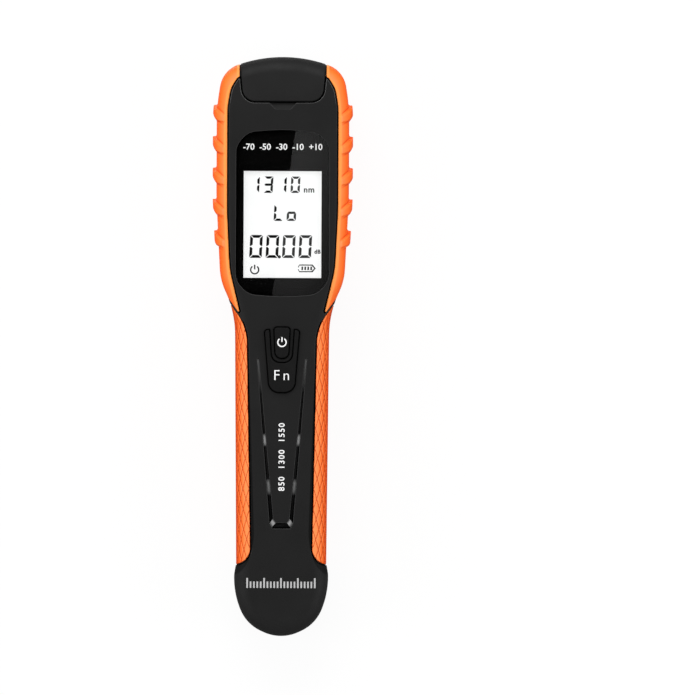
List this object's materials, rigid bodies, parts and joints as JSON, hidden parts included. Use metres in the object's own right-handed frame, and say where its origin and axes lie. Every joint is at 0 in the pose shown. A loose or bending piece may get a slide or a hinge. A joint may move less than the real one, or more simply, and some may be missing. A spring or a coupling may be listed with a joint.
{
  "type": "optical power meter",
  "caption": "Handheld optical power meter with a display window, two keys, soft orange bumpers and grips, and a flip cap over its fibre port.",
  "frame": {"origin": "mid-length and mid-width, on the flat back that it lies on", "axes": "+X to the right of the face, +Y towards the flip cap, +Z out of the face"},
  "size_m": [0.0436, 0.18, 0.0277],
  "materials": {
    "body_black": "fine matt black housing plastic",
    "soft_orange": "soft orange bumper, satin",
    "grip_orange": "soft orange grip with a raised diamond pattern",
    "window_black": "glossy black window",
    "lcd_glass": "clear display glass",
    "frame_white": "white display frame and light plate",
    "steel": "bright steel",
    "seal_grey": "soft dark seal",
    "nickel": "nickel-plated metal",
    "sleeve_white": "white ceramic",
    "key_black": "matt black key",
    "switch_black": "black switch body",
    "board_green": "green circuit board",
    "cell_wrap": "blue plastic-wrapped cell",
    "label_dark": "dark matt plate"
  },
  "bodies": {
    "case": {"backlight": "frame_white", "battery": "cell_wrap", "board_screws": "steel", "bumper_left": "soft_orange", "bumper_right": "soft_orange", "cap_hinge_pin": "steel", "case_screws": "steel", "charging_socket": "nickel", "display_window": "window_black", "ferrule_sleeve": "sleeve_white", "fn_switch": "switch_black", "front_cover": "body_black", "grip_left": "grip_orange", "grip_right": "grip_orange", "lcd_frame": "frame_white", "lcd_panel": "lcd_glass", "main_board": "board_green", "photodetector": "nickel", "port_adapter": "nickel", "port_panel": "body_black", "port_screws": "steel", "power_switch": "switch_black", "rear_cover": "body_black", "rear_label": "label_dark"},
    "flip_cap": {"flip_cap": "body_black", "cap_seal": "seal_grey"},
    "power_key": {"power_key": "key_black"},
    "fn_key": {"fn_key": "key_black"}
  },
  "joints": [
    {"name": "cap_hinge", "type": "hinge", "parent": "case", "child": "flip_cap", "pos_m": [0, 0.0722, 0.002], "axis": [-1, 0, 0], "range_deg": [0, 110]},
    {"name": "power_key_press", "type": "slide", "parent": "case", "child": "power_key", "axis": [0, 0, -1], "range_m": [0, 0.0004], "stiffness_N_per_m": 2500},
    {"name": "fn_key_press", "type": "slide", "parent": "case", "child": "fn_key", "axis": [0, 0, -1], "range_m": [0, 0.0004], "stiffness_N_per_m": 2500}
  ]
}
